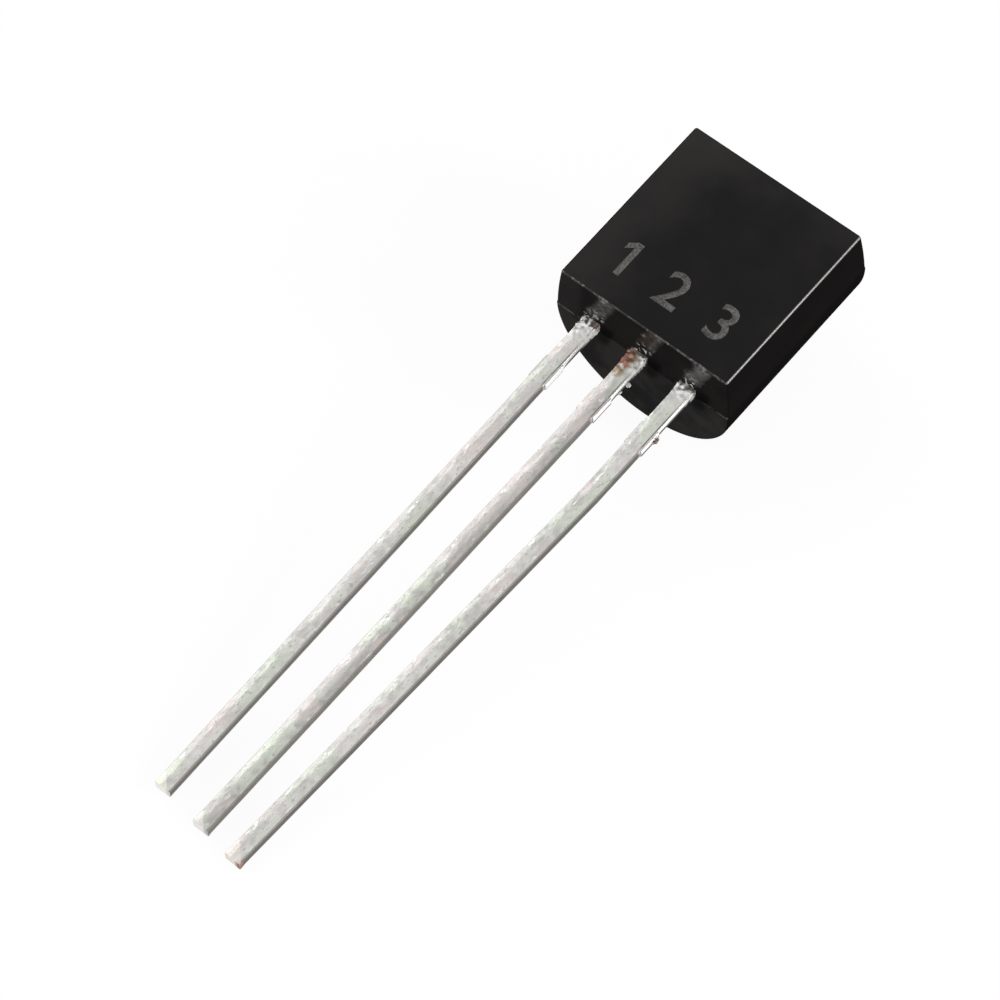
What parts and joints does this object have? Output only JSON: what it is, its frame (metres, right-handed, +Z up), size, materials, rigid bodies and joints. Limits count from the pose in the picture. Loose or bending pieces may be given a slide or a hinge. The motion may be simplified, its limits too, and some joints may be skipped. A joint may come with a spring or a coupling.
{
  "type": "to-92 transistor",
  "caption": "Small through-hole transistor: black moulded body, flat in front and round behind, on long tinned leads, with its chip, paddle and bond wires inside.",
  "frame": {"origin": "centre of the part's footprint, on the surface that it lies on", "axes": "+Z up; +Y from the lead tips towards the body, level with the surface; +X to the right of someone who looks at the flat face with the leads pointing towards them"},
  "size_m": [0.0046, 0.0188, 0.0042],
  "materials": {
    "moulding": "satin black epoxy moulding compound, glossier on the ends and the round back",
    "tinned_lead": "stamped sheet with a satin tin coat, bare metal on the cut ends",
    "silicon": "polished silicon with bright bond pads",
    "solder": "soft solder, dull grey",
    "gold_wire": "bright drawn gold"
  },
  "bodies": {
    "root": {"moulded_body": "moulding", "left_lead": "tinned_lead", "centre_lead": "tinned_lead", "right_lead": "tinned_lead", "chip": "silicon", "chip_solder": "solder", "left_wire": "gold_wire", "centre_wire": "gold_wire"}
  },
  "joints": []
}
